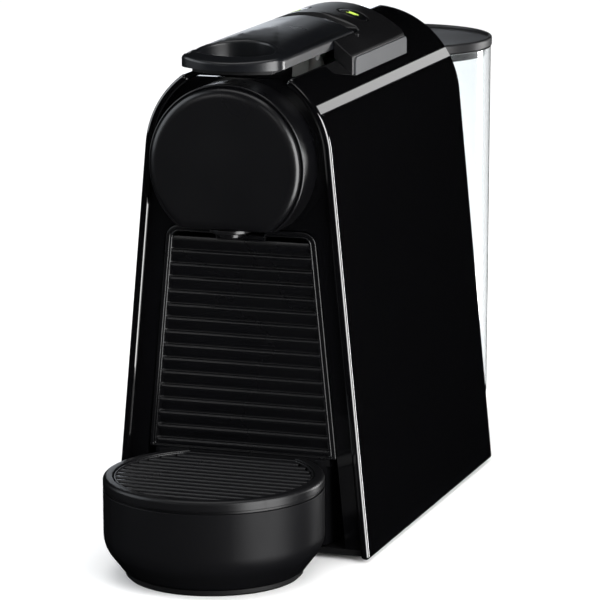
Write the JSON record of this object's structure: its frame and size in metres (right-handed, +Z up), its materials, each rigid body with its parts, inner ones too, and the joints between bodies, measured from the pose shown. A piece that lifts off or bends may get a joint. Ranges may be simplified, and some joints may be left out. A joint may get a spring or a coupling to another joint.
{
  "type": "pod coffee machine",
  "caption": "Compact pod coffee machine: arched black shell, round brew head, lift-up lever, ribbed capsule container, round drip base and clear rear water tank.",
  "frame": {"origin": "middle of the machine's footprint on the table, at the bounding box's bottom centre", "axes": "+Z up, front (brew head and drip base) towards -Y, water tank towards +Y, X across the width"},
  "size_m": [0.1098, 0.3314, 0.2091],
  "materials": {
    "gloss_shell": "piano gloss",
    "gloss_fascia": "gloss",
    "satin_black": "fine satin",
    "satin_lever": "fine satin",
    "satin_panel": "fine satin",
    "satin_base": "satin",
    "satin_ring": "satin",
    "ribbed_black": "semi gloss",
    "grid_black": "satin",
    "gloss_black_trim": "gloss",
    "gloss_cheek": "gloss",
    "matte_black": "matte",
    "button_black": "gloss",
    "icon_lens": "lit, translucent",
    "lid_black": "satin",
    "tank_clear": "clear moulded plastic",
    "rubber_black": "matte",
    "seal_red": "matte silicone",
    "hose_silicone": "translucent silicone",
    "screw_steel": "zinc plated",
    "steel": "machined",
    "cast_aluminium": "cast",
    "frame_grey": "glass filled nylon",
    "white_plastic": "acetal",
    "valve_red": "satin",
    "pcb_green": "solder mask",
    "component_black": "moulded",
    "component_white": "matte"
  },
  "bodies": {
    "machine": {"outer_shell": "gloss_shell", "front_fascia": "gloss_fascia", "rear_panel": "matte_black", "base_plate": "matte_black", "rubber_feet": "rubber_black", "base_screws": "screw_steel", "rear_screws": "screw_steel", "cord_gland": "rubber_black", "tank_seat": "matte_black", "seat_seal": "seal_red", "loading_deck": "matte_black", "brew_frame": "frame_grey", "brew_head_cover": "satin_black", "brew_head_cap": "satin_black", "brew_head_block": "frame_grey", "pyramid_plate": "steel", "coffee_outlet": "gloss_black_trim", "top_panel": "satin_panel", "cheek_left": "gloss_cheek", "cheek_right": "gloss_cheek", "button_board": "pcb_green", "board_switches": "component_black", "lever_pin": "matte_black", "idler_shaft": "steel", "inlet_tube": "steel", "thermoblock": "cast_aluminium", "thermal_fuse": "component_white", "pump_body": "component_black", "pump_mounts": "rubber_black", "flow_meter": "white_plastic", "meter_cap": "white_plastic", "tank_hose": "hose_silicone", "pump_hose": "hose_silicone", "heater_hose": "hose_silicone", "main_board": "pcb_green", "board_parts": "component_black"},
    "lever": {"lever_plate": "satin_lever", "lever_liner": "matte_black", "lever_gear": "white_plastic"},
    "idler": {"idler_pinion": "white_plastic"},
    "brew_piston": {"capsule_cage": "cast_aluminium", "needle_plate": "steel", "cage_seal": "seal_red", "drive_rack": "white_plastic"},
    "left_button": {"button_left": "button_black", "lens_left": "icon_lens"},
    "right_button": {"button_right": "button_black", "lens_right": "icon_lens"},
    "pump_core": {"pump_plunger": "steel"},
    "meter_rotor": {"flow_rotor": "white_plastic"},
    "drip_unit": {"drip_tray": "satin_base", "base_ring": "satin_ring", "base_foot": "matte_black", "capsule_container": "ribbed_black"},
    "grid": {"drip_grid": "grid_black"},
    "tank": {"water_tank": "tank_clear", "valve_body": "white_plastic", "valve_spring": "steel"},
    "tank_valve": {"valve_plunger": "valve_red"},
    "lid": {"tank_lid": "lid_black"}
  },
  "joints": [
    {"name": "lever_hinge", "type": "hinge", "parent": "machine", "child": "lever", "pos_m": [0, -0.0109, 0.2014], "axis": [-1, 0, 0], "range_deg": [0, 85]},
    {"name": "idler_spin", "type": "hinge", "parent": "machine", "child": "idler", "pos_m": [0, -0.0109, 0.17265], "axis": [-1, 0, 0], "range_deg": [-241, 0]},
    {"name": "piston_slide", "type": "slide", "parent": "machine", "child": "brew_piston", "axis": [0, 1, 0], "range_m": [0, 0.0316]},
    {"name": "left_button_press", "type": "slide", "parent": "machine", "child": "left_button", "axis": [0, 0, -1], "range_m": [0, 0.0012], "stiffness_N_per_m": 800, "springref_m": -0.0006},
    {"name": "right_button_press", "type": "slide", "parent": "machine", "child": "right_button", "axis": [0, 0, -1], "range_m": [0, 0.0012], "stiffness_N_per_m": 800, "springref_m": -0.0006},
    {"name": "pump_stroke", "type": "slide", "parent": "machine", "child": "pump_core", "axis": [0, 0, 1], "range_m": [0, 0.004], "stiffness_N_per_m": 400, "springref_m": -0.0015},
    {"name": "meter_spin", "type": "hinge", "parent": "machine", "child": "meter_rotor", "pos_m": [0.02, 0.058, 0.0155], "axis": [0, 0, 1], "continuous": true},
    {"name": "drip_unit_slide", "type": "slide", "parent": "machine", "child": "drip_unit", "axis": [0, -1, 0], "range_m": [0, 0.13]},
    {"name": "grid_lift", "type": "slide", "parent": "drip_unit", "child": "grid", "axis": [0, 0, 1], "range_m": [0, 0.025]},
    {"name": "tank_lift", "type": "slide", "parent": "machine", "child": "tank", "axis": [0, 0, 1], "range_m": [0, 0.08]},
    {"name": "tank_valve_press", "type": "slide", "parent": "tank", "child": "tank_valve", "axis": [0, 0, 1], "range_m": [0, 0.0022], "stiffness_N_per_m": 120, "springref_m": -0.001, "deforming": ["valve_spring"]},
    {"name": "lid_lift", "type": "slide", "parent": "tank", "child": "lid", "axis": [0, 0, 1], "range_m": [0, 0.03]}
  ],
  "couplings": [
    {"joint": "idler_spin", "follows": "lever_hinge", "ratio": -2.8333},
    {"joint": "piston_slide", "follows": "lever_hinge", "m_per_rad": 0.02125}
  ]
}
